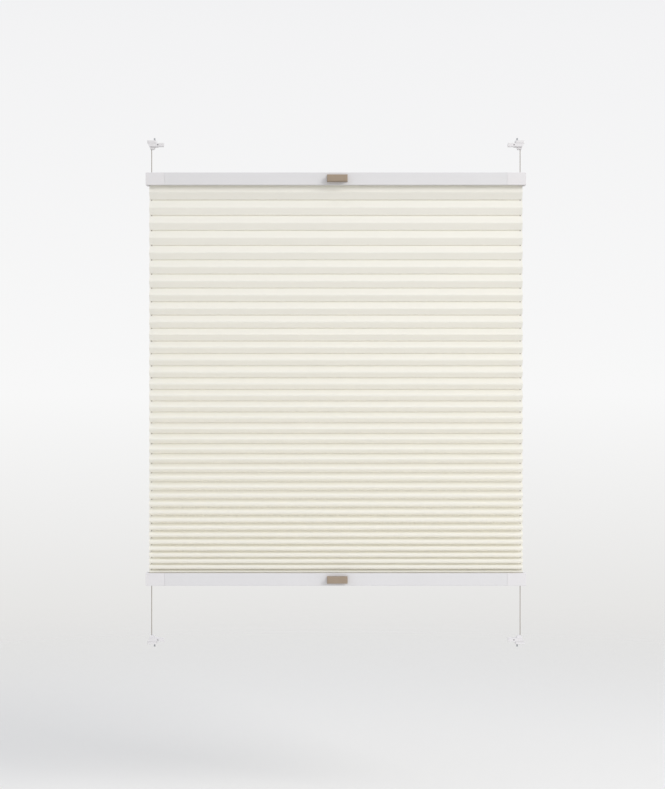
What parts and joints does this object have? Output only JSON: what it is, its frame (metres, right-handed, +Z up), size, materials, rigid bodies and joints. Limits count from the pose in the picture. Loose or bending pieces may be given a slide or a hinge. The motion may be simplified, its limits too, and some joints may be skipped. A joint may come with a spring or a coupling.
{
  "type": "pleated blind",
  "caption": "Pleated fabric blind stretched on cords in a window recess, with a sliding rail and finger handle at its top and bottom and cord shoes in the corners.",
  "frame": {"origin": "middle of the recess's width and height, half way between the front of the handles and the back of the rails", "axes": "+X to the right as the blind is seen from the room, +Y from the room into the window, +Z up"},
  "size_m": [0.666, 0.037, 0.8942],
  "materials": {
    "rail_white": "satin",
    "cap_white": "satin",
    "handle_taupe": "satin",
    "strip_plastic": "satin",
    "pin_steel": "satin",
    "cord_grey": "matte",
    "shoe_white": "satin",
    "screw_steel": "satin",
    "stopper_plastic": "satin",
    "fabric_ivory": "matte"
  },
  "bodies": {
    "fixed_parts": {"upper_left_shoe_foot": "shoe_white", "upper_left_shoe_clip": "shoe_white", "upper_right_shoe_foot": "shoe_white", "upper_right_shoe_clip": "shoe_white", "lower_left_shoe_foot": "shoe_white", "lower_left_shoe_clip": "shoe_white", "lower_right_shoe_foot": "shoe_white", "lower_right_shoe_clip": "shoe_white", "shoe_screws": "screw_steel", "cord_stoppers": "stopper_plastic", "left_standing_cord": "cord_grey", "right_standing_cord": "cord_grey", "pleated_fabric": "fabric_ivory"},
    "upper_rail": {"upper_rail_profile": "rail_white", "upper_rail_left_cap": "cap_white", "upper_rail_right_cap": "cap_white", "upper_rail_handle": "handle_taupe", "upper_rail_fabric_strip": "strip_plastic", "upper_rail_guide_pins": "pin_steel", "upper_rail_front_cord": "cord_grey", "upper_rail_back_cord": "cord_grey"},
    "lower_rail": {"lower_rail_profile": "rail_white", "lower_rail_left_cap": "cap_white", "lower_rail_right_cap": "cap_white", "lower_rail_handle": "handle_taupe", "lower_rail_fabric_strip": "strip_plastic", "lower_rail_guide_pins": "pin_steel", "lower_rail_front_cord": "cord_grey", "lower_rail_back_cord": "cord_grey"}
  },
  "joints": [
    {"name": "upper_rail_slide", "type": "slide", "parent": "fixed_parts", "child": "upper_rail", "axis": [0, 0, 1], "range_m": [-0.14, 0.04], "deforming": ["pleated_fabric"]},
    {"name": "lower_rail_slide", "type": "slide", "parent": "fixed_parts", "child": "lower_rail", "axis": [0, 0, 1], "range_m": [-0.087, 0.265], "deforming": ["pleated_fabric"]}
  ]
}
